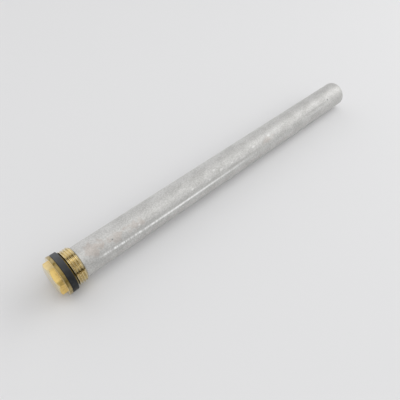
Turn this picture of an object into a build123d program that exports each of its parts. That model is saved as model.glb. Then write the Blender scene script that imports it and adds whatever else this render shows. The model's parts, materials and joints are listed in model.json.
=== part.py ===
from build123d import *
from math import atan, cos, radians, sin, tan
import os

# Magnesium anode rod with a brass screw plug and a rubber sealing washer.
#
# Row frame, millimetres, +Z up. The origin is on the thread axis, in the outer face of the
# washer: everything on the -X side of it stays outside the tank wall, everything on the +X side
# goes inside. The part lies on a flat surface, on the rim of its flange and the far end of its
# rod, so the thread axis points along +X and dips a little. "x" below is measured along it.

# Screw plug
wrench_af = 21.0  # hexagon, across flats
crown_share = 0.95  # flat circle of the hexagon's outer face, as a share of wrench_af
crown_angle = 30.0  # chamfer of the hexagon's corners, degrees from the outer face
hex_height = 4.4
hex_turn = 7.0  # roll of the hexagon about the axis, degrees
thread_d = 26.441  # G 3/4, major diameter
thread_depth = 1.162
thread_length = 7.6
thread_run_in = 0.3  # chamfer at the relief, along the axis
thread_lead = 1.2  # chamfer at the plug's end, along the axis
flange_step = 1.38  # of its rim beyond the thread's crest, radial
flange_t = 2.5
flange_edge = 0.3
neck_undercut = 0.26  # of the relief that holds the washer, below the thread's root, radial
neck_gap = 0.7  # free length of the relief, from the washer to the thread

# Sealing washer
washer_inset = 0.2  # of its rim inside the flange's, radial
washer_t = 4.6
washer_play = 0.2  # between its bore and the neck, radial
washer_edge = 0.5
land_play = 0.1  # of the flat that seals outside the thread's crest, radial
land_height = 0.8  # of that flat above the bore's end, along the axis

# Anode rod
rod_d = 23.0
rod_length = 300.0
rod_edge = 0.6

# Fixing stud
stud_d = 8.0
stud_in_plug = 9.0
stud_in_rod = 15.0
stud_edge = 1.0
stud_play = 0.1  # between the stud and its tapped holes, radial
hole_end_room = 1.0  # left beyond each end of the stud
hole_mouth = 0.6  # countersink of each tapped hole
drill_point = 118.0  # included angle, degrees

# Places along the axis
washer_seat = -washer_t
flange_back = washer_seat - flange_t
head_end = flange_back - hex_height
thread_start = neck_gap
plug_end = thread_start + thread_length
rod_end = plug_end + rod_length

# The lie: the flange rim and the rod's far edge both touch the surface
thread_r = thread_d / 2
flange_r = thread_r + flange_step
rod_r = rod_d / 2
flange_contact = washer_seat - flange_edge
rod_contact = rod_end - rod_edge
dip = atan((flange_r - rod_r) / (rod_contact - flange_contact))

axis_direction = (cos(dip), 0, -sin(dip))
thread_axis = Axis((0, 0, 0), axis_direction)
meridian = Plane(origin=(0, 0, 0), x_dir=axis_direction, z_dir=(0, -1, 0))  # (x, radius)
cross_section = Plane(origin=(0, 0, 0), x_dir=(0, 1, 0), z_dir=axis_direction)


def turn(*points, mode=Mode.ADD):
    """Revolve the closed outline of (x, radius) points about the thread axis."""
    with BuildSketch(meridian) as outline:
        with BuildLine():
            Polyline(*points, close=True)
        make_face()
    revolve(outline.sketch, axis=thread_axis, mode=mode)


def tap_for_stud(mouth, engaged, way):
    """Cut a blind tapped hole for the stud, with way +1 or -1 along the axis."""
    hole_r = stud_d / 2 + stud_play
    floor = mouth + way * (engaged + hole_end_room)
    point = hole_r / tan(radians(drill_point / 2))
    turn(
        (mouth, 0),
        (mouth, hole_r + hole_mouth),
        (mouth + way * hole_mouth, hole_r),
        (floor, hole_r),
        (floor + way * point, 0),
        mode=Mode.SUBTRACT,
    )


# Screw plug: hexagon, flange, relief and threaded barrel, turned from one bar
crown_r = crown_share * wrench_af / 2
past_corners_r = 0.6 * wrench_af
crown_depth = (past_corners_r - crown_r) * tan(radians(crown_angle))
thread_root_r = thread_r - thread_depth
neck_r = thread_root_r - neck_undercut

with BuildPart() as screw_plug:
    with BuildSketch(cross_section.offset(head_end)):
        RegularPolygon(wrench_af / 2, 6, major_radius=False, rotation=hex_turn + 30)
    extrude(amount=hex_height)
    turn(
        (head_end, 0),
        (head_end, crown_r),
        (head_end + crown_depth, past_corners_r),
        (flange_back, past_corners_r),
        (flange_back, 0),
        mode=Mode.INTERSECT,
    )
    turn(
        (flange_back, 0),
        (flange_back, flange_r - flange_edge),
        (flange_back + flange_edge, flange_r),
        (washer_seat - flange_edge, flange_r),
        (washer_seat, flange_r - flange_edge),
        (washer_seat, neck_r),
        (thread_start, neck_r),
        (thread_start, thread_root_r),
        (thread_start + thread_run_in, thread_r),
        (plug_end - thread_lead, thread_r),
        (plug_end, thread_root_r),
        (plug_end, 0),
    )
    tap_for_stud(plug_end, stud_in_plug, -1)

screw_plug.part.label = "screw_plug"

# Sealing washer: a thick rubber ring in the relief, against the flange. Its outer face slopes
# back inside the land, which alone meets the tank's boss, around the mouth of the boss's thread.
washer_r = flange_r - washer_inset
washer_bore_r = neck_r + washer_play
land_r = thread_r + land_play

with BuildPart() as sealing_washer:
    turn(
        (washer_seat, washer_bore_r),
        (washer_seat, washer_r),
        (washer_seat + washer_t, washer_r),
        (washer_seat + washer_t, land_r),
        (washer_seat + washer_t - land_height, washer_bore_r),
    )
    rim_edges = sealing_washer.edges().filter_by(GeomType.CIRCLE).group_by(SortBy.RADIUS)[-1]
    fillet(rim_edges, washer_edge)

sealing_washer.part.label = "sealing_washer"

# Anode rod: a solid magnesium bar, square against the end of the plug
with BuildPart() as anode_rod:
    with BuildSketch(cross_section.offset(plug_end)):
        Circle(rod_r)
    extrude(amount=rod_length)
    end_edges = anode_rod.edges().filter_by(GeomType.CIRCLE)
    chamfer(end_edges, rod_edge)
    tap_for_stud(plug_end, stud_in_rod, 1)

anode_rod.part.label = "anode_rod"

# Fixing stud: screwed half into the plug, half into the rod
stud_r = stud_d / 2

with BuildPart() as fixing_stud:
    with BuildSketch(cross_section.offset(plug_end - stud_in_plug)):
        Circle(stud_r)
    extrude(amount=stud_in_plug + stud_in_rod)
    chamfer(fixing_stud.edges().filter_by(GeomType.CIRCLE), stud_edge)

fixing_stud.part.label = "fixing_stud"

os.makedirs("parts", exist_ok=True)
export_step(screw_plug.part, "parts/screw_plug.step")
export_step(sealing_washer.part, "parts/sealing_washer.step")
export_step(anode_rod.part, "parts/anode_rod.step")
export_step(fixing_stud.part, "parts/fixing_stud.step")
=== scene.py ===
import json
from math import cos, degrees, radians, sin, tan, tau

import bmesh
import bpy
import numpy as np
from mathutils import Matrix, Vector


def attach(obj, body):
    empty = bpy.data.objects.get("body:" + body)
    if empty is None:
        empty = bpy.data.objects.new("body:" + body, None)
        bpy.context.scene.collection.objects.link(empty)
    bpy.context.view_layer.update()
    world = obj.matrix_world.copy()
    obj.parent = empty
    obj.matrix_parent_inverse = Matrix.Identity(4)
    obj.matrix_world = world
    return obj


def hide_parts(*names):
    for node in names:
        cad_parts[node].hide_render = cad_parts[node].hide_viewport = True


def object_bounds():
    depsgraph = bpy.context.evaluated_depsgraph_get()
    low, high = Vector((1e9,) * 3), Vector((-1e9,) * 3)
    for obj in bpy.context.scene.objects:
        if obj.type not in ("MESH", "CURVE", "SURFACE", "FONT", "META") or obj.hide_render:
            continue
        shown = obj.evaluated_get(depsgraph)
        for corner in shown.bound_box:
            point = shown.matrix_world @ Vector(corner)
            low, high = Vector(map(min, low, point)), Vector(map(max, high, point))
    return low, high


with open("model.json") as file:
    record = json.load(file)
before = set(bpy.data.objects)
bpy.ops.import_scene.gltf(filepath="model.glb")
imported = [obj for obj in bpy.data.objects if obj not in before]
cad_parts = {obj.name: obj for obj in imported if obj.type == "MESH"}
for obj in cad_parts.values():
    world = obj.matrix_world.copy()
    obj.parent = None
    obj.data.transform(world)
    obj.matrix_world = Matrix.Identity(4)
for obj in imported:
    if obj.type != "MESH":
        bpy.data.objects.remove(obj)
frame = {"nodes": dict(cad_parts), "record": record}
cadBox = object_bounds()
mounts = {mount["name"]: mount for mount in frame["record"]["mounts"]}
mm = 0.001
mergeWithin = 0.002 * mm  # corners nearer than this become one
sharpFrom = 34.0  # degrees between two faces, from which their edge stays sharp
sidewaysBelow = 0.3  # a face whose normal leans this little along the bar looks sideways
facetRoom = 0.004 * mm  # keeps the flange's facets inside the CAD model's box
flangeOnly = 0.5 * mm  # this far past the thread's crests the plug is all flange

# the bar's own directions: along it to the free end, level across it, and upwards
along = Vector(mounts["thread"]["axis"]).normalized()
across = Vector((0, 1, 0))
upwards = along.cross(across)


def reach(node, beyond=0.0):
    # first and last place along the bar, and largest radius, of what lies beyond a radius
    points = np.array([vertex.co for vertex in frame["nodes"][node].data.vertices])
    places = points @ np.array(along)
    radii = np.linalg.norm(points - np.outer(places, along), axis=1)
    places = places[radii > beyond]
    return float(places.min()), float(places.max()), float(radii.max())


def pointOnBar(place, radius, angle):  # the angle runs from level across towards upwards
    return along * place + across * (radius * cos(angle)) + upwards * (radius * sin(angle))


headEnd, plugEnd, flangeRadius = reach("screw_plug")
flangeRadius -= facetRoom
threadRadius = mounts["thread"]["dims"]["r_mm"] * mm
flangeBack, washerSeat, _ = reach("screw_plug", beyond=threadRadius + flangeOnly)
_, washerFace, washerRadius = reach("sealing_washer")
_, rodEnd, rodRadius = reach("anode_rod")
studStart, studEnd, studRadius = reach("fixing_stud")
floorLevel = cadBox[0].z
print("frame loaded:", ", ".join(sorted(frame["nodes"])))


class Wire:
    # wraps a socket, so that a sum on it adds its Math nodes
    def __init__(self, net, socket):
        self.net = net
        self.socket = socket

    def __add__(self, other):
        return self.net.maths("ADD", self, other)

    def __radd__(self, other):
        return self.net.maths("ADD", other, self)

    def __sub__(self, other):
        return self.net.maths("SUBTRACT", self, other)

    def __rsub__(self, other):
        return self.net.maths("SUBTRACT", other, self)

    def __mul__(self, other):
        return self.net.maths("MULTIPLY", self, other)

    def __rmul__(self, other):
        return self.net.maths("MULTIPLY", other, self)

    def __truediv__(self, other):
        return self.net.maths("DIVIDE", self, other)

    def __rtruediv__(self, other):
        return self.net.maths("DIVIDE", other, self)

    def __pow__(self, other):
        return self.net.maths("POWER", self, other)

    def __abs__(self):
        return self.net.maths("ABSOLUTE", self)


class Net:
    # fills one node tree
    def __init__(self, tree):
        self.tree = tree
        self.tree.nodes.clear()

    def find(self, sockets, key):
        if isinstance(key, int):
            return sockets[key]
        return next(socket for socket in sockets if key in (socket.identifier, socket.name))

    def add(self, kind, settings=None, inputs=None, output=0):
        node = self.tree.nodes.new(kind)
        for key, value in (settings or {}).items():
            setattr(node, key, value)
        for key, value in (inputs or {}).items():
            socket = self.find(node.inputs, key)
            if isinstance(value, Wire):
                self.tree.links.new(value.socket, socket)
            else:
                socket.default_value = value
        return Wire(self, self.find(node.outputs, output)) if node.outputs else None

    def maths(self, operation, *terms):
        return self.add("ShaderNodeMath", {"operation": operation}, dict(enumerate(terms)))

    def vectorMaths(self, operation, *terms, output=0):
        return self.add("ShaderNodeVectorMath", {"operation": operation}, dict(enumerate(terms)), output)

    def scaled(self, vector, factor):
        return self.add("ShaderNodeVectorMath", {"operation": "SCALE"}, {0: vector, "Scale": factor})

    def dot(self, first, second):
        return self.vectorMaths("DOT_PRODUCT", first, second, output="Value")

    def lengthOf(self, vector):
        return self.vectorMaths("LENGTH", vector, output="Value")

    def joined(self, x, y, z):
        return self.add("ShaderNodeCombineXYZ", {}, {0: x, 1: y, 2: z})

    def noise(self, place, scale, detail=3.0, roughness=0.5):
        sockets = {"Vector": place, "Scale": scale, "Detail": detail, "Roughness": roughness}
        return self.add("ShaderNodeTexNoise", {}, sockets)

    def ease(self, value, low, high, start=0.0, end=1.0):  # start below low, end above high
        sockets = {"Value": value, "From Min": low, "From Max": high, "To Min": start, "To Max": end}
        return self.add("ShaderNodeMapRange", {"interpolation_type": "SMOOTHSTEP"}, sockets)

    def fade(self, value, low, high, start=1.0):  # start below low, nothing above high
        return self.ease(value, low, high, start, 0.0)

    def mix(self, share, first, second):  # of two colours
        sockets = {"Factor_Float": share, "A_Color": first, "B_Color": second}
        return self.add("ShaderNodeMix", {"data_type": "RGBA"}, sockets, "Result_Color")

    def bump(self, height):  # in millimetres
        return self.add("ShaderNodeBump", {}, {"Height": height, "Distance": mm}, "Normal")


def colour(red, green, blue):
    return (red, green, blue, 1.0)


def makeMaterial(name, paint):  # paint fills the net and returns the sockets of the Principled shader
    made = bpy.data.materials.new(name)
    made.use_nodes = True
    net = Net(made.node_tree)
    shader = net.add("ShaderNodeBsdfPrincipled", {}, paint(net))
    net.add("ShaderNodeOutputMaterial", {}, {"Surface": shader})
    return made


def barPlaces(net):  # in millimetres: along the bar, level across it and upwards
    place = net.add("ShaderNodeTexCoord", {}, {}, "Object")
    return [net.dot(place, direction) / mm for direction in (along, across, upwards)]


def outFromAxis(y, z):
    return (y * y + z * z) ** 0.5


def degreesRound(net, y, z):  # the angle about the bar, from level across towards upwards
    return net.maths("ARCTAN2", z, y) * degrees(1)


def swing(noise, size):  # a noise made to swing about zero
    return (noise - 0.5) * size


def addObject(name, data):
    added = bpy.data.objects.new(name, data)
    bpy.context.scene.collection.objects.link(added)
    return added


# The floor, the camera and the lamps
view = {
    "place": (-35.33 * mm, -164.32 * mm, 225.65 * mm),
    "heading": -43.55,  # degrees from +Y towards -X
    "tilt": 47.61,  # degrees below level
    "lens": 36.0,
    "sensor": 36.0,
    "nearest": 0.01,  # metres from the camera that it starts and stops seeing
    "farthest": 20.0,
}
studio = {
    "floor": colour(0.76, 0.76, 0.765),
    "floorRoughness": 0.9,
    "floorSize": 8.0,
    "backdrop": colour(0.74, 0.74, 0.745),
    "sky": colour(0.55, 0.55, 0.56),
    "room": colour(0.90, 0.90, 0.91),  # low down on the camera's side
    "mirroredRoom": colour(0.34, 0.34, 0.35),  # the same as glossy surfaces show it
    "mirroredHorizon": colour(0.05, 0.05, 0.05),
    "roomDirection": (-0.25, -0.97, 0.0),
    "roomCosines": (0.40, 0.80),  # off that direction, from where the room starts to where it is full
    "roomHeights": (0.20, 0.55),  # sine of the height over which it ends
    "horizonHeights": (0.08, 0.20),  # sine of the height over which its dark horizon ends
}
panels = {  # soft bright patches of the sky, from the cosine where each starts to where it is full
    "front": {"towards": (0.10, -0.44, 0.90), "cosines": (0.70, 0.93), "glow": colour(0.97, 0.97, 0.96)},
    "ceiling": {"towards": (0.05, 0.05, 1.00), "cosines": (0.955, 0.995), "glow": colour(1.8, 1.8, 1.78)},
    "back": {"towards": (0.00, 0.95, 0.25), "cosines": (0.60, 0.90), "glow": colour(1.02, 1.02, 1.03)},
    "side": {"towards": (0.80, -0.60, 0.06), "cosines": (0.82, 0.97), "glow": colour(1.05, 1.05, 1.05)},
    "end": {"towards": (0.95, -0.10, 0.34), "cosines": (0.88, 0.98), "glow": colour(1.45, 1.45, 1.45)},
}
endGlow = {  # a patch past the rod's end, which only matt surfaces see
    "towards": (1.00, -0.15, 0.30),
    "cosines": (0.80, 0.96),
    "glow": colour(2.2, 2.2, 2.2),
}
lamps = {  # in metres and watts
    "ceiling": {"place": (0.10, -0.15, 1.30), "aim": (0.12, 0.0, 0.0), "size": (1.0, 0.9), "power": 0.25},
    "window": {"place": (0.95, -0.25, 0.50), "aim": (0.15, 0.0, 0.0), "size": (0.5, 0.4), "power": 0.55},
    "fill": {
        "place": (0.70, -0.50, 0.45),
        "aim": (0.25, 0.0, 0.0),
        "size": (0.5, 0.4),
        "power": 0.6,
        "mirrored": False,  # only matt surfaces see it
    },
}


def paintFloor(net):
    return {
        "Base Color": studio["floor"],
        "Roughness": studio["floorRoughness"],
        "Specular IOR Level": 0.0,
    }


def makeFloor():
    half = studio["floorSize"] / 2
    mesh = bpy.data.meshes.new("floor")
    corners = [(-half, -half), (half, -half), (half, half), (-half, half)]
    mesh.from_pydata([(x, y, floorLevel) for x, y in corners], [], [(0, 1, 2, 3)])
    mesh.materials.append(makeMaterial("paleFloor", paintFloor))
    floor = addObject("floor", mesh)


def addPatch(net, direction, sky, patch):
    cosine = net.dot(direction, Vector(patch["towards"]).normalized())
    return net.mix(net.ease(cosine, *patch["cosines"]), sky, patch["glow"])


def makeWorld():
    world = bpy.data.worlds.new("studio")
    bpy.context.scene.world = world
    world.use_nodes = True
    net = Net(world.node_tree)
    direction = net.add("ShaderNodeTexCoord", {}, {}, "Generated")
    height = net.dot(direction, (0, 0, 1))
    towardsRoom = net.dot(direction, studio["roomDirection"])
    glossy = net.add("ShaderNodeLightPath", {}, {}, "Is Glossy Ray")
    seen = net.add("ShaderNodeLightPath", {}, {}, "Is Camera Ray")
    sky = studio["sky"]
    for panel in panels.values():
        sky = addPatch(net, direction, sky, panel)
    sky = net.mix(glossy, addPatch(net, direction, sky, endGlow), sky)
    inRoom = net.ease(towardsRoom, *studio["roomCosines"]) * net.fade(height, *studio["roomHeights"])
    aboveHorizon = net.ease(height, *studio["horizonHeights"])
    mirroredRoom = net.mix(aboveHorizon, studio["mirroredHorizon"], studio["mirroredRoom"])
    sky = net.mix(inRoom, sky, net.mix(glossy, studio["room"], mirroredRoom))
    sky = net.mix(seen, sky, studio["backdrop"])
    light = net.add("ShaderNodeBackground", {}, {"Color": sky})
    net.add("ShaderNodeOutputWorld", {}, {"Surface": light})


def makeLamp(name, place, aim, size, power, mirrored=True):
    light = bpy.data.lights.new(name, "AREA")
    light.shape = "RECTANGLE"
    light.size, light.size_y = size
    light.energy = power
    lamp = addObject(name, light)
    lamp.location = place
    lamp.visible_glossy = mirrored
    lamp.rotation_mode = "QUATERNION"
    lamp.rotation_quaternion = (Vector(aim) - Vector(place)).to_track_quat("-Z", "Y")


def makeCamera():
    lens = bpy.data.cameras.new("camera")
    lens.lens = view["lens"]
    lens.sensor_width = view["sensor"]
    lens.clip_start = view["nearest"]
    lens.clip_end = view["farthest"]
    camera = addObject("camera", lens)
    camera.location = view["place"]
    camera.rotation_euler = (radians(90 - view["tilt"]), 0.0, radians(view["heading"]))
    bpy.context.scene.camera = camera


bpy.context.scene.view_settings.view_transform = "Standard"
makeFloor()
makeWorld()
makeCamera()
for lampName, lampSizes in lamps.items():
    makeLamp(lampName, **lampSizes)
print("floor, camera and lamps set")


def eased(corners, steps=4):
    # an outline's corners, each a place, a radius and how far to ease it, as points with rounded corners
    points = []
    for index, (place, radius, easing) in enumerate(corners):
        here = Vector((place, radius))
        if not easing:
            points.append(here)
            continue
        before = Vector(corners[index - 1][:2]) - here
        after = Vector(corners[(index + 1) % len(corners)][:2]) - here
        start = here + before.normalized() * easing
        end = here + after.normalized() * easing
        for step in range(steps + 1):
            share = step / steps
            points.append(start.lerp(here, share).lerp(here.lerp(end, share), share))
    return points


def turned(shell, outlineAt, columns, ring=False):
    # adds an outline of (place, radius) points, turned about the bar's axis; a ring's outline is a loop
    strips = []
    for column in range(columns):
        angle = tau * column / columns
        strips.append([shell.verts.new(pointOnBar(*point, angle)) for point in outlineAt(angle)])
    count = len(strips[0])
    for column, here in enumerate(strips):
        there = strips[(column + 1) % columns]
        for index in range(count if ring else count - 1):
            following = (index + 1) % count
            shell.faces.new((here[index], there[index], there[following], here[following]))


def closedMesh(shell, name):  # merges seams and poles and turns the faces outwards
    bmesh.ops.remove_doubles(shell, verts=shell.verts, dist=mergeWithin)
    bmesh.ops.recalc_face_normals(shell, faces=shell.faces)
    openEdges = sum(1 for edge in shell.edges if len(edge.link_faces) != 2)
    volume = shell.calc_volume() / mm**3
    mesh = bpy.data.meshes.new(name)
    shell.to_mesh(mesh)
    shell.free()
    print(f"{name}: {len(mesh.polygons)} faces, {openEdges} open edges, volume {volume:.0f} mm3")
    return mesh


def geometryNet(name, inputs):
    # a Geometry Nodes tree with named inputs, given as {name: kind of socket}, and those inputs
    tree = bpy.data.node_groups.new(name, "GeometryNodeTree")
    for label, kind in {"Geometry": "Geometry", **inputs}.items():
        tree.interface.new_socket(label, in_out="INPUT", socket_type="NodeSocket" + kind)
    tree.interface.new_socket("Geometry", in_out="OUTPUT", socket_type="NodeSocketGeometry")
    net = Net(tree)
    entry = net.add("NodeGroupInput").socket.node
    return net, {socket.name: Wire(net, socket) for socket in entry.outputs if socket.name}


def endNet(net, geometry, material):
    real = net.add("GeometryNodeRealizeInstances", {}, {"Geometry": geometry})
    painted = net.add("GeometryNodeSetMaterial", {}, {"Geometry": real, "Material": material})
    net.add("NodeGroupOutput", {}, {"Geometry": painted})
    return net.tree


def grown(mesh, tree, values):  # the plain mesh that a tree makes of a mesh
    holder = addObject("holder", mesh)
    modifier = holder.modifiers.new("grow", "NODES")
    modifier.node_group = tree
    for item in tree.interface.items_tree:
        if item.in_out == "INPUT" and item.name in values:
            modifier[item.identifier] = values[item.name]
    evaluated = holder.evaluated_get(bpy.context.evaluated_depsgraph_get())
    made = bpy.data.meshes.new_from_object(evaluated)
    bpy.data.objects.remove(holder)
    return made


directions = {"Along": along[:], "Across": across[:], "Upwards": upwards[:]}


def threadTree():  # a tube whose radius follows a right-hand thread, chamfered at both ends
    floats = ("Start", "Length", "Crest Radius", "Depth", "Pitch", "Half Angle", "Run In", "Lead Out")
    kinds = {
        **dict.fromkeys(floats, "Float"),
        **dict.fromkeys(directions, "Vector"),
        "Rows": "Int",
        "Columns": "Int",
        "Material": "Material",
    }
    net, given = geometryNet("helicalThread", kinds)
    crest, depth, pitch = given["Crest Radius"], given["Depth"], given["Pitch"]
    counts = {"Vertices X": given["Rows"] + 1, "Vertices Y": given["Columns"] + 1}
    sheet = net.add("GeometryNodeMeshGrid", {}, {"Size X": 1.0, "Size Y": 1.0, **counts}, "Mesh")
    spot = net.add("GeometryNodeInputPosition")
    travel = (net.dot(spot, (1, 0, 0)) + 0.5) * given["Length"]  # the sheet runs from -0.5 to 0.5
    turn = net.dot(spot, (0, 1, 0)) + 0.5
    place = given["Start"] + travel
    phase = net.maths("FRACT", place / pitch - turn)
    fromCrest = abs(phase - 0.5) * pitch
    fall = (fromCrest - pitch / 4) / net.maths("TANGENT", given["Half Angle"]) + depth / 2
    rounding = depth / 4
    fall = net.maths("SMOOTH_MIN", fall, depth, rounding)
    fall = net.maths("SMOOTH_MAX", fall, 0.0, rounding)
    root = crest - depth
    startChamfer = root + travel * depth / given["Run In"]
    endChamfer = root + (given["Length"] - travel) * depth / given["Lead Out"]
    radius = net.maths("MINIMUM", crest - fall, net.maths("MINIMUM", startChamfer, endChamfer))
    level = net.scaled(given["Across"], radius * net.maths("COSINE", turn * tau))
    rise = net.scaled(given["Upwards"], radius * net.maths("SINE", turn * tau))
    ring = net.vectorMaths("ADD", level, rise)
    goal = net.vectorMaths("ADD", net.scaled(given["Along"], place), ring)
    shaped = net.add("GeometryNodeSetPosition", {}, {"Geometry": sheet, "Position": goal})
    return endNet(net, shaped, given["Material"])


helicalThread = threadTree()


def threadMesh(material, **sizes):  # sizes are the tree's inputs, with _ for a space
    values = {name.replace("_", " "): value for name, value in sizes.items()}
    values.update(directions, Material=material)
    return grown(bpy.data.meshes.new("empty"), helicalThread, values)


def makePiece(name, mesh, materials, node):
    # shows the mesh in place of a CAD node
    if not mesh.materials:
        for material in materials:
            mesh.materials.append(material)
    mesh.shade_smooth()
    mesh.set_sharp_from_angle(angle=radians(sharpFrom))
    piece = addObject(name, mesh)
    modifier = piece.modifiers.new("flatFaces", "WEIGHTED_NORMAL")
    modifier.keep_sharp = True
    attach(piece, "root")
    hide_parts(node)


# The screw plug: hexagon, flange and relief, the threaded barrel and the hole in its end
screwPlug = {
    "wrench": 21.0 * mm,  # across the flats
    "hexTurn": 7.0,  # degrees
    "cornerRounding": 1.0 * mm,
    "crownShare": 0.95,  # flat circle of the outer face, as a share of the wrench size
    "crownAngle": 30.0,
    "edge": 0.15 * mm,
    "rimChamfer": 0.3 * mm,
    "neckUndercut": 0.26 * mm,  # of the relief, below the thread's root
    "relief": 0.7 * mm,  # from the washer's face to the thread
    "threadDepth": 1.162 * mm,
    "pitch": 1.814 * mm,
    "halfAngle": 27.5,
    "runIn": 0.3 * mm,
    "leadOut": 1.2 * mm,
    "columns": 480,
    "rowHeight": 0.1 * mm,
}
studHoles = {  # in the plug's end and in the rod's
    "radius": 4.1 * mm,
    "mouth": 0.6 * mm,
    "drillPoint": 118.0,
    "depthInPlug": 10.0 * mm,
    "depthInRod": 16.0 * mm,
}
threadStart = washerFace + screwPlug["relief"]
threadRoot = threadRadius - screwPlug["threadDepth"]

# Brass: bright, with fine turning grooves, browner where dirt and tarnish gather, with painted shade in
# the relief and the thread's roots, a darker flange rim, darker streaks of painted shade and a painted
# highlight on the hexagon
brass = {  # lengths in millimetres, as in all materials
    "drawn": colour(0.93, 0.69, 0.26),
    "turned": colour(0.83, 0.71, 0.44),
    "tarnishAndShade": colour(0.24, 0.165, 0.04),
    "patches": {"scale": 0.35, "detail": 4.0, "roughness": 0.6},
    "patchRange": (0.48, 0.72),
    "patchDirt": 0.3,
    "cleanerHead": 0.2,  # less of the patches' dirt on the turned faces of the hexagon
    "threadRootShade": 0.12,
    # darker all round the flange's rim
    "rimDarkening": 0.60,
    "belowCrests": (1.1, 0.1),  # from where the painted shade in the thread's roots is full to where it ends
    "rimRadii": (13.6, 14.2),  # over which the rim starts
    "zoneEdges": {"thread": 0.2, "relief": 1.0, "flange": 0.3, "seat": 0.1, "hexagon": 0.1},
    "streakWander": 8.0,  # degrees
    "streakCore": 0.3,  # share of a streak's width at full strength
    "grooveSpacing": 0.25,
    "grooveDepth": 0.001,
    "grooveNoise": {"scale": 1.5, "detail": 2.0},
    "grooveWander": 0.15,
    "turnedRoughness": 0.16,
    "turnedDirtRoughness": 0.25,
    "drawnLines": {"scale": 5.0, "detail": 3.0, "roughness": 0.6},
    "drawnStretch": 0.08,
    "drawnDepth": 0.012,
    "drawnRoughness": 0.44,
    "drawnLineRoughness": 0.12,
    "drawnDirtRoughness": 0.2,
    "highlightFlat": 67.0,  # degrees round the bar to the hexagon's side with a painted highlight
    "highlightReach": (20.0, 34.0),  # degrees off it, from where the painted highlight falls to where it ends
    "highlightShare": 0.6,
}
paintedShadeStreaks = [  # painted dark reflections and painted shade: darker lines along the brass; angle round it and width, in degrees, and share
    {"on": "thread", "angle": 152.0, "wide": 5.5, "share": 0.8},
    {"on": "thread", "angle": 174.0, "wide": 24.0, "share": 0.15},
    {"on": "thread", "angle": 124.0, "wide": 14.0, "share": 0.35},
    {"on": "thread", "angle": 97.0, "wide": 6.0, "share": 0.5},
    {"on": "rim", "angle": 128.0, "wide": 60.0, "share": 0.28},
    {"on": "hexagon", "angle": 151.0, "wide": 13.0, "share": 0.40},
    {"on": "hexagon", "angle": 93.0, "wide": 12.0, "share": 0.25},
]


def plugZones(net, x, radius):  # how far each place belongs to each zone of the plug
    edges = brass["zoneEdges"]
    start, face, seat, back = (place / mm for place in (threadStart, washerFace, washerSeat, flangeBack))
    onFlange = net.ease(x, back, back + edges["flange"]) * net.fade(x, seat, seat + edges["seat"])
    return {
        "thread": net.ease(x, start, start + edges["thread"]),
        "relief": net.ease(x, face - edges["relief"], face) * net.fade(x, start, start + edges["thread"]),
        "rim": onFlange * net.ease(radius, *brass["rimRadii"]),
        "hexagon": net.fade(x, back - edges["hexagon"], back),
    }


def brassBase(net, x, y, z, clean, flats=False):
    # the share of dirt and painted shade, and the colour with it; the flats are the hexagon's sides
    radius = outFromAxis(y, z)
    zones = plugZones(net, x, radius)
    patches = net.noise(net.joined(x, y, z), **brass["patches"])
    crest = threadRadius / mm
    fullRootShade, noRootShade = brass["belowCrests"]
    # painted shade in the thread's roots, below its crests
    inThreadRoots = net.fade(radius, crest - fullRootShade, crest - noRootShade) * zones["thread"]
    patchDirt = brass["patchDirt"]
    if not flats:
        patchDirt = patchDirt - zones["hexagon"] * brass["cleanerHead"]
    dirtAndShade = net.ease(patches, *brass["patchRange"]) * patchDirt + inThreadRoots * brass["threadRootShade"]
    # painted shade fills the relief groove between the washer and the thread; the flange's rim is darker
    # all round
    dirtAndShade = dirtAndShade + zones["rim"] * brass["rimDarkening"] + zones["relief"]
    turn = degreesRound(net, y, z) + swing(patches, brass["streakWander"])
    # painted dark reflections and painted shade along the streaks
    for streak in paintedShadeStreaks:
        if flats != (streak["on"] == "hexagon"):
            continue
        off = abs(turn - streak["angle"])
        share = net.fade(off, streak["wide"] * brass["streakCore"], streak["wide"], streak["share"])
        dirtAndShade = dirtAndShade + share * zones[streak["on"]]
    return dirtAndShade, net.mix(dirtAndShade, clean, brass["tarnishAndShade"])


def paintTurnedBrass(net):
    x, y, z = barPlaces(net)
    dirtAndShade, base = brassBase(net, x, y, z, brass["turned"])
    wander = net.noise(net.joined(x, y, z), **brass["grooveNoise"]) * brass["grooveWander"]
    phase = (x + outFromAxis(y, z) + wander) * (tau / brass["grooveSpacing"])
    grooves = net.maths("SINE", phase) * brass["grooveDepth"]
    roughness = dirtAndShade * brass["turnedDirtRoughness"] + brass["turnedRoughness"]
    return {"Base Color": base, "Metallic": 1.0, "Roughness": roughness, "Normal": net.bump(grooves)}


def paintDrawnBrass(net):  # the hexagon's flats, with lines along the bar and a painted highlight on one side
    x, y, z = barPlaces(net)
    dirtAndShade, base = brassBase(net, x, y, z, brass["drawn"], flats=True)
    lines = net.noise(net.joined(x * brass["drawnStretch"], y, z), **brass["drawnLines"])
    # painted highlight: paler brass on the hexagon's upper side
    offHighlight = abs(degreesRound(net, y, z) - brass["highlightFlat"])
    base = net.mix(net.fade(offHighlight, *brass["highlightReach"], brass["highlightShare"]), base, brass["turned"])
    roughness = dirtAndShade * brass["drawnDirtRoughness"] + lines * brass["drawnLineRoughness"]
    return {
        "Base Color": base,
        "Metallic": 1.0,
        "Roughness": roughness + brass["drawnRoughness"],
        "Normal": net.bump(lines * brass["drawnDepth"]),
    }


def hexagonRadius(angle):  # of a hexagon with rounded corners
    flat = screwPlug["wrench"] / 2
    rounding = screwPlug["cornerRounding"]
    sector = radians(60)
    offFlat = abs((angle - radians(screwPlug["hexTurn"]) + sector / 2) % sector - sector / 2)
    offCorner = sector / 2 - offFlat
    centre = (flat - rounding) / cos(sector / 2)
    if centre * sin(offCorner) < rounding * sin(sector / 2 - offCorner):
        return centre * cos(offCorner) + (rounding**2 - (centre * sin(offCorner)) ** 2) ** 0.5
    return flat / cos(offFlat)


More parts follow.
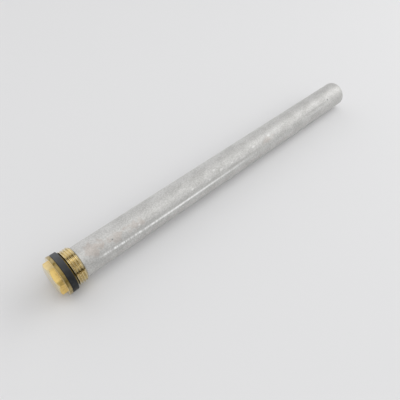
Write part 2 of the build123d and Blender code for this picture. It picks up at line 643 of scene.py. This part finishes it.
def headOutline(angle):
    edge = screwPlug["edge"]
    chamfer = screwPlug["rimChamfer"]
    crown = screwPlug["crownShare"] * screwPlug["wrench"] / 2
    side = hexagonRadius(angle)
    crownEnd = headEnd + (side - crown) * tan(radians(screwPlug["crownAngle"]))
    neck = threadRoot - screwPlug["neckUndercut"]
    return eased(
        [
            (headEnd, 0.0, 0),
            (headEnd, crown, edge),
            (crownEnd, side, edge),
            (flangeBack, side, 2 * edge),
            (flangeBack, flangeRadius - chamfer, edge / 2),
            (flangeBack + chamfer, flangeRadius, edge / 2),
            (washerSeat - chamfer, flangeRadius, edge / 2),
            (washerSeat, flangeRadius - chamfer, edge / 2),
            (washerSeat, neck, edge),
            (threadStart, neck, edge / 4),
            (threadStart, threadRoot, 0),
        ]
    )


def holeOutline(depth, way):  # of a hole for the stud, from its mouth at the plug's end to its point
    radius = studHoles["radius"]
    mouth = studHoles["mouth"]
    floor = plugEnd + way * depth
    point = radius / tan(radians(studHoles["drillPoint"] / 2))
    return [
        (plugEnd, radius + mouth),
        (plugEnd + way * mouth, radius),
        (floor, radius),
        (floor + way * point, 0.0),
    ]


def makeScrewPlug():
    turnedBrass = makeMaterial("turnedBrass", paintTurnedBrass)
    drawnBrass = makeMaterial("drawnBrass", paintDrawnBrass)
    shell = bmesh.new()
    turned(shell, headOutline, screwPlug["columns"])
    endOutline = [(plugEnd, threadRoot)] + holeOutline(studHoles["depthInPlug"], -1)
    turned(shell, lambda angle: endOutline, screwPlug["columns"])
    thread = threadMesh(
        turnedBrass,
        Start=threadStart,
        Length=plugEnd - threadStart,
        Crest_Radius=threadRadius,
        Depth=screwPlug["threadDepth"],
        Pitch=screwPlug["pitch"],
        Half_Angle=radians(screwPlug["halfAngle"]),
        Run_In=screwPlug["runIn"],
        Lead_Out=screwPlug["leadOut"],
        Rows=round((plugEnd - threadStart) / screwPlug["rowHeight"]),
        Columns=screwPlug["columns"],
    )
    shell.from_mesh(thread)
    bmesh.ops.remove_doubles(shell, verts=shell.verts, dist=mergeWithin)
    shell.normal_update()
    for face in shell.faces:  # the hexagon's sides are drawn, all the rest is turned
        sideways = abs(face.normal.dot(along)) < sidewaysBelow
        isFlat = sideways and face.calc_center_median().dot(along) < flangeBack
        face.material_index = 1 if isFlat else 0
    mesh = closedMesh(shell, "screwPlug")
    makePiece("screwPlug", mesh, [turnedBrass, drawnBrass], "screw_plug")


makeScrewPlug()
print("screw plug made")


# The sealing washer, of black matt rubber with a little dust, and dust with a painted sheen towards one
# side
rubber = {
    "black": colour(0.006, 0.007, 0.008),
    "dustAndSheen": colour(0.115, 0.12, 0.125),
    "clouds": {"scale": 0.30, "detail": 4.0, "roughness": 0.65},
    "cloudRange": (0.40, 0.75),
    "cloudDust": 0.12,
    "dustAndSheenSide": (-14.0, 10.0),  # places across, from where the dust and painted sheen start to where they are full
    "sideDustAndSheen": 0.85,
    "grain": {"scale": 4.0, "detail": 2.0},
    "grainDepth": 0.02,
    "cloudDepth": 0.05,
    "roughness": 0.50,
    "dustRoughness": 0.2,
    "grainRoughness": 0.1,
    "shine": 0.35,
}
sealingWasher = {
    "bore": 12.0 * mm,
    "land": 13.32 * mm,  # inner radius of the flat that seals
    "landHeight": 0.8 * mm,
    "edge": 0.5 * mm,
    "columns": 240,
}


def paintRubber(net):
    x, y, z = barPlaces(net)
    place = net.joined(x, y, z)
    clouds = net.noise(place, **rubber["clouds"])
    grain = net.noise(place, **rubber["grain"])
    dustAndSheen = net.ease(clouds, *rubber["cloudRange"]) * rubber["cloudDust"]
    # dust with a painted sheen, growing towards one side across the bar
    dustAndSheen = dustAndSheen + net.ease(y, *rubber["dustAndSheenSide"]) * rubber["sideDustAndSheen"]
    roughness = dustAndSheen * rubber["dustRoughness"] + grain * rubber["grainRoughness"] + rubber["roughness"]
    height = grain * rubber["grainDepth"] + clouds * rubber["cloudDepth"]
    return {
        "Base Color": net.mix(dustAndSheen, rubber["black"], rubber["dustAndSheen"]),
        "Roughness": roughness,
        "Specular IOR Level": rubber["shine"],
        "Normal": net.bump(height),
    }


def makeSealingWasher():
    bore = sealingWasher["bore"]
    edge = sealingWasher["edge"]
    outline = eased(
        [
            (washerSeat, bore, edge / 4),
            (washerSeat, washerRadius, edge),
            (washerFace, washerRadius, edge),
            (washerFace, sealingWasher["land"], edge / 4),
            (washerFace - sealingWasher["landHeight"], bore, edge / 4),
        ]
    )
    shell = bmesh.new()
    turned(shell, lambda angle: outline, sealingWasher["columns"], ring=True)
    mesh = closedMesh(shell, "sealingWasher")
    blackRubber = makeMaterial("blackRubber", paintRubber)
    makePiece("sealingWasher", mesh, [blackRubber], "sealing_washer")


makeSealingWasher()
print("washer made")


# The anode rod, of satin grey magnesium with a thin oxide skin, draw lines and a few stains, a pale line
# and spots of painted highlight, and long lines of painted dark reflection
magnesium = {
    "bright": colour(0.70, 0.695, 0.68),
    "dull": colour(0.50, 0.495, 0.48),
    "brown": colour(0.50, 0.42, 0.37),
    "black": colour(0.10, 0.10, 0.10),
    "paintedHighlight": colour(0.90, 0.90, 0.89),
    "clouds": {"scale": 0.12, "detail": 5.0, "roughness": 0.6},
    "cloudStretch": 0.6,
    "cloudRange": (0.38, 0.66),
    "cloudDull": 0.35,
    "grain": {"scale": 0.9, "detail": 4.0, "roughness": 0.65},
    "grainRange": (0.35, 0.65),
    "grainDull": 0.6,
    "lines": {"scale": 2.2, "detail": 4.0, "roughness": 0.65},
    "lineStretch": 0.03,
    "blots": {"scale": 0.28, "detail": 3.0, "roughness": 0.6},
    "lineDepth": 0.03,
    "grainDepth": 0.12,
    "cloudDepth": 0.05,
    "roughness": 0.58,
    "cloudRoughness": 0.25,
    "grainRoughness": 0.15,
    "metallic": 0.95,
    "dullMetallic": 0.1,  # less where it is dull
}
highlightLine = {  # a painted highlight: pale line along the rod, in millimetres and degrees
    "angle": 159.2,
    "turn": 82.0,  # where along the rod it reaches that angle
    "bend": 0.0018,  # degrees that it lies back by, per square millimetre before there
    "drift": 0.03,  # degrees that it falls back by, per millimetre past there
    "raggedness": 3.0,
    "width": 1.35,
    "widths": (0.7, 0.6),  # least share of that width, and how much the beads add
    "start": (12.0, 32.0),
    "end": (95.0, 200.0),
    "beads": {"scale": 0.35, "detail": 2.0, "roughness": 0.6},
    "beadRange": (0.42, 0.58),
    "beadsEnd": (45.0, 85.0),
    "whole": (0.15, 0.75),  # share of the line between the beads, before and after their end
}
marks = [  # place along, angle round, length and width of each mark on the rod, in millimetres and degrees
    {"tint": "brown", "place": 19.0, "angle": 112.0, "long": 9.0, "wide": 6.0, "share": 0.42},
    {"tint": "brown", "place": 36.0, "angle": 124.0, "long": 8.0, "wide": 4.0, "share": 0.34},
    {"tint": "brown", "place": 52.0, "angle": 126.0, "long": 10.0, "wide": 3.5, "share": 0.34},
    {"tint": "brown", "place": 193.0, "angle": 135.0, "long": 8.0, "wide": 3.5, "share": 0.28},
    {"tint": "black", "place": 33.3, "angle": 124.5, "long": 0.9, "wide": 0.8, "share": 0.60},
    {"tint": "black", "place": 283.0, "angle": 135.0, "long": 1.6, "wide": 1.0, "share": 0.60},
    # painted dark reflections: two long dark lines along the rod; the two small dark marks above are pits
    {"tint": "black", "place": 154.0, "angle": 146.0, "long": 16.0, "wide": 1.2, "share": 0.12},
    {"tint": "black", "place": 262.0, "angle": 139.0, "long": 34.0, "wide": 1.1, "share": 0.14},
    # painted highlights: a long pale streak, then small pale glints over the knocks
    {"tint": "paintedHighlight", "place": 266.0, "angle": 152.0, "long": 30.0, "wide": 1.5, "share": 0.22},
    {"tint": "paintedHighlight", "place": 55.0, "angle": 133.5, "long": 1.4, "wide": 0.9, "share": 0.52},
    {"tint": "paintedHighlight", "place": 105.5, "angle": 134.0, "long": 1.8, "wide": 1.0, "share": 0.65},
    {"tint": "paintedHighlight", "place": 123.0, "angle": 140.0, "long": 1.4, "wide": 0.9, "share": 0.45},
    {"tint": "paintedHighlight", "place": 130.5, "angle": 118.5, "long": 1.9, "wide": 1.1, "share": 0.42},
    {"tint": "paintedHighlight", "place": 137.0, "angle": 132.0, "long": 2.2, "wide": 1.2, "share": 0.55},
    {"tint": "paintedHighlight", "place": 149.5, "angle": 132.5, "long": 1.8, "wide": 1.0, "share": 0.45},
    {"tint": "paintedHighlight", "place": 176.5, "angle": 126.0, "long": 2.2, "wide": 1.2, "share": 0.45},
    {"tint": "paintedHighlight", "place": 196.5, "angle": 122.0, "long": 2.2, "wide": 1.4, "share": 0.59},
]
markEdges = {
    "grain": 0.8,  # how much the grain moves a mark's edge, as a share of the mark
    "blots": {"brown": 3.0, "black": 0.5, "paintedHighlight": 0.5},  # the same for the blots
    "fall": (0.35, 1.0),  # from where a mark falls off to where it ends
}
anodeRod = {
    "edge": 0.6 * mm,
    "columns": 120,
    "rowLength": 0.6 * mm,
    "waviness": 0.04 * mm,
    "wavesPerMetre": 70.0,
    "dentDepth": 0.05 * mm,
    "dentsPerMetre": 110.0,
}
knocks = [  # place along, angle round, size and depth, in millimetres and degrees
    {"place": 106.0, "angle": 131.0, "size": 1.5, "depth": 0.10},
    {"place": 131.0, "angle": 131.0, "size": 1.6, "depth": 0.12},
    {"place": 136.0, "angle": 132.0, "size": 1.5, "depth": 0.10},
    {"place": 149.0, "angle": 130.0, "size": 1.4, "depth": 0.10},
    {"place": 177.0, "angle": 130.0, "size": 2.2, "depth": 0.12},
    {"place": 197.0, "angle": 130.0, "size": 1.8, "depth": 0.12},
    {"place": 286.0, "angle": 134.0, "size": 2.0, "depth": 0.25},
]


def onRod(mark):  # in millimetres, in the bar's own directions
    angle = radians(mark["angle"])
    return mark["place"], rodRadius / mm * cos(angle), rodRadius / mm * sin(angle)


def markShare(net, mark, place, grain, blots):
    long, wide = mark["long"], mark["wide"]
    away = net.vectorMaths("SUBTRACT", place, onRod(mark))
    squeezed = net.vectorMaths("MULTIPLY", away, (1 / long, 1 / wide, 1 / wide))
    ragged = swing(blots, markEdges["blots"][mark["tint"]])
    distance = net.lengthOf(squeezed) + swing(grain, markEdges["grain"]) + ragged
    return net.fade(distance, *markEdges["fall"], mark["share"])


def highlightLineShare(net, x, y, z, grain):
    beads = net.noise(net.joined(x, 0.0, 0.0), **highlightLine["beads"])
    before = net.maths("MINIMUM", x - highlightLine["turn"], 0.0)
    past = net.maths("MAXIMUM", x - highlightLine["turn"], 0.0)
    highlightLineAngle = highlightLine["angle"] - before**2.0 * highlightLine["bend"] - past * highlightLine["drift"]
    turn = degreesRound(net, y, z) - highlightLineAngle + swing(grain, highlightLine["raggedness"])
    offHighlightLine = abs(turn) * (rodRadius / mm * radians(1))
    least, added = highlightLine["widths"]
    share = net.fade(offHighlightLine, 0.0, highlightLine["width"] * (least + beads * added))
    share = share * net.ease(x, *highlightLine["start"]) * net.fade(x, *highlightLine["end"])
    whole = net.ease(x, *highlightLine["beadsEnd"], *highlightLine["whole"])
    return share * (whole + (1.0 - whole) * net.ease(beads, *highlightLine["beadRange"]))


def paintMagnesium(net):
    x, y, z = barPlaces(net)
    place = net.joined(x, y, z)
    clouds = net.noise(net.joined(x * magnesium["cloudStretch"], y, z), **magnesium["clouds"])
    lines = net.noise(net.joined(x * magnesium["lineStretch"], y, z), **magnesium["lines"])
    grain = net.noise(place, **magnesium["grain"])
    blots = net.noise(place, **magnesium["blots"])
    dull = net.ease(clouds, *magnesium["cloudRange"]) * magnesium["cloudDull"]
    dull = dull + net.ease(grain, *magnesium["grainRange"]) * magnesium["grainDull"]
    base = net.mix(dull, magnesium["bright"], magnesium["dull"])
    # the marks mix in stains, pits, painted dark reflections and painted highlights
    for mark in marks:
        base = net.mix(markShare(net, mark, place, grain, blots), base, magnesium[mark["tint"]])
    # painted highlight: a pale line along the rod, not metallic
    onHighlightLine = highlightLineShare(net, x, y, z, grain)
    roughness = swing(clouds, magnesium["cloudRoughness"])
    roughness = roughness + swing(grain, magnesium["grainRoughness"])
    height = lines * magnesium["lineDepth"] + grain * magnesium["grainDepth"]
    return {
        "Base Color": net.mix(onHighlightLine, base, magnesium["paintedHighlight"]),
        "Metallic": (1.0 - onHighlightLine) * (magnesium["metallic"] - dull * magnesium["dullMetallic"]),
        "Roughness": roughness + magnesium["roughness"],
        "Normal": net.bump(height + clouds * magnesium["cloudDepth"]),
    }


def unevenTree():  # presses shallow waves and dents into the side of a bar
    sideRadii = (0.95, 0.99)  # shares of the radius between which the side starts
    endRoom = (0.05, 0.3)  # radii off each end over which the waves set in
    dentSize = 0.16  # of a dent's cell
    waveDetail = 2.0
    floats = ("Radius", "Start", "End", "Waviness", "Wave Scale", "Dent Depth", "Dent Scale")
    kinds = {**dict.fromkeys(floats, "Float"), "Along": "Vector", "Material": "Material"}
    net, given = geometryNet("unevenBar", kinds)
    spot = net.add("GeometryNodeInputPosition")
    place = net.dot(spot, given["Along"])
    out = net.vectorMaths("SUBTRACT", spot, net.scaled(given["Along"], place))
    radius = net.lengthOf(out)
    onSide = net.ease(radius / given["Radius"], *sideRadii)
    pastStart = net.ease((place - given["Start"]) / given["Radius"], *endRoom)
    beforeEnd = net.ease((given["End"] - place) / given["Radius"], *endRoom)
    waves = net.noise(spot, given["Wave Scale"], waveDetail) * given["Waviness"]
    cells = net.add("ShaderNodeTexVoronoi", {}, {"Vector": spot, "Scale": given["Dent Scale"]}, "Distance")
    dents = net.fade(cells, 0.0, dentSize) * given["Dent Depth"]
    pressed = (waves + dents) * onSide * pastStart * beforeEnd
    offset = net.scaled(out, (0.0 - pressed) / radius)
    shaped = net.add("GeometryNodeSetPosition", {}, {"Geometry": given["Geometry"], "Offset": offset})
    return endNet(net, shaped, given["Material"])


def knockDepth(place, angle):  # of the deepest knock here
    deepest = 0.0
    for knock in knocks:
        lengthwise = place / mm - knock["place"]
        if abs(lengthwise) > knock["size"]:
            continue
        turnwise = (angle - radians(knock["angle"])) * rodRadius / mm
        share = 1 - (lengthwise**2 + turnwise**2) / knock["size"] ** 2
        deepest = max(deepest, knock["depth"] * mm * max(share, 0.0) ** 2)
    return deepest


def makeAnodeRod():
    edge = anodeRod["edge"]
    hole = holeOutline(studHoles["depthInRod"], 1)[::-1]
    rounded = eased(
        [
            (plugEnd, studHoles["radius"], 0),
            (plugEnd, rodRadius - edge, edge / 3),
            (plugEnd + edge, rodRadius, edge / 3),
            (rodEnd - edge, rodRadius, edge / 3),
            (rodEnd, rodRadius - edge, edge / 3),
            (rodEnd, 0.0, 0),
        ]
    )
    middle = len(rounded) // 2
    first, last = rounded[middle - 1][0], rounded[middle][0]
    rows = np.linspace(first, last, round((last - first) / anodeRod["rowLength"]) + 1)[1:-1]

    def outlineAt(angle):
        side = [(place, rodRadius - knockDepth(place, angle)) for place in rows]
        return hole + rounded[1:middle] + side + rounded[middle:]

    shell = bmesh.new()
    turned(shell, outlineAt, anodeRod["columns"])
    bareMagnesium = makeMaterial("bareMagnesium", paintMagnesium)
    values = {
        "Radius": rodRadius,
        "Start": plugEnd,
        "End": rodEnd,
        "Waviness": anodeRod["waviness"],
        "Wave Scale": anodeRod["wavesPerMetre"],
        "Dent Depth": anodeRod["dentDepth"],
        "Dent Scale": anodeRod["dentsPerMetre"],
        "Along": along[:],
        "Material": bareMagnesium,
    }
    mesh = grown(closedMesh(shell, "anodeRod"), unevenTree(), values)
    makePiece("anodeRod", mesh, [bareMagnesium], "anode_rod")


makeAnodeRod()
print("anode rod made")


# The fixing stud, of plain grey steel with a rolled thread that is oily in its roots
steel = {
    "bright": colour(0.56, 0.57, 0.58),
    "oil": colour(0.20, 0.19, 0.18),
    "patches": {"scale": 0.8, "detail": 4.0},
    "patchRange": (0.35, 0.70),
    "patchOil": 0.3,
    "rootOil": 0.5,
    "roughness": 0.24,
    "patchRoughness": 0.2,
}
fixingStud = {
    "threadDepth": 0.767 * mm,
    "pitch": 1.25 * mm,
    "halfAngle": 30.0,
    "endChamfer": 1.0 * mm,
    "columns": 64,
    "rowHeight": 0.125 * mm,
}
studRoot = studRadius - fixingStud["threadDepth"]


def paintSteel(net):
    x, y, z = barPlaces(net)
    patches = net.noise(net.joined(x, y, z), **steel["patches"])
    inRoot = net.fade(outFromAxis(y, z), studRoot / mm, studRadius / mm)
    oily = net.ease(patches, *steel["patchRange"]) * steel["patchOil"] + inRoot * steel["rootOil"]
    return {
        "Base Color": net.mix(oily, steel["bright"], steel["oil"]),
        "Metallic": 1.0,
        "Roughness": patches * steel["patchRoughness"] + steel["roughness"],
    }


def makeFixingStud():
    studSteel = makeMaterial("studSteel", paintSteel)
    thread = threadMesh(
        studSteel,
        Start=studStart,
        Length=studEnd - studStart,
        Crest_Radius=studRadius,
        Depth=fixingStud["threadDepth"],
        Pitch=fixingStud["pitch"],
        Half_Angle=radians(fixingStud["halfAngle"]),
        Run_In=fixingStud["endChamfer"],
        Lead_Out=fixingStud["endChamfer"],
        Rows=round((studEnd - studStart) / fixingStud["rowHeight"]),
        Columns=fixingStud["columns"],
    )
    shell = bmesh.new()
    shell.from_mesh(thread)
    for place in (studStart, studEnd):
        turned(shell, lambda angle: [(place, studRoot), (place, 0.0)], fixingStud["columns"])
    mesh = closedMesh(shell, "fixingStud")
    makePiece("fixingStud", mesh, [studSteel], "fixing_stud")


makeFixingStud()
print("stud made")
